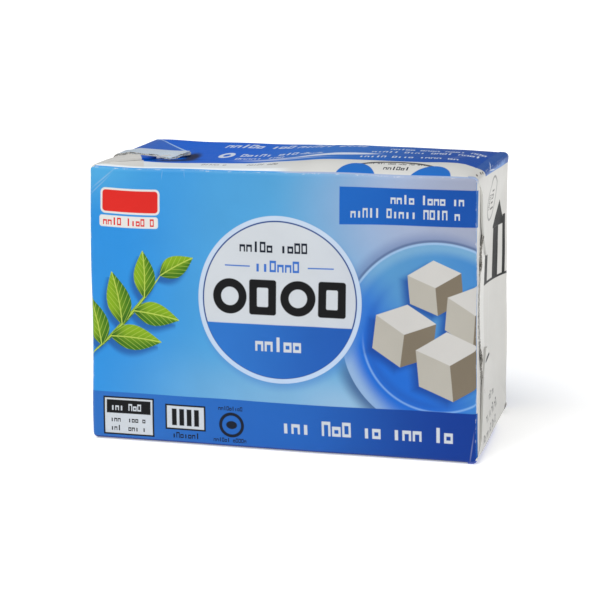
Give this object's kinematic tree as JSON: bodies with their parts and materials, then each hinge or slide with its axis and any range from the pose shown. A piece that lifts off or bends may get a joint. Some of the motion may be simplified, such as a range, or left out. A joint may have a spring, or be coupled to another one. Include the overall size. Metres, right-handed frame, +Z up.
{
  "type": "shut tofu carton",
  "caption": "Shut brick carton of silken tofu on its long narrow side, with folded ears, seal fins and a printed front panel.",
  "frame": {"origin": "middle of the base, on the surface that the carton stands on", "axes": "+X to the right along the wide front panel, +Y to the back, +Z up"},
  "size_m": [0.1048, 0.0507, 0.0753],
  "materials": {
    "printed_board": "plastic-coated paperboard, printed in blues and white, satin gloss"
  },
  "bodies": {
    "root": {"carton": "printed_board"}
  },
  "joints": []
}
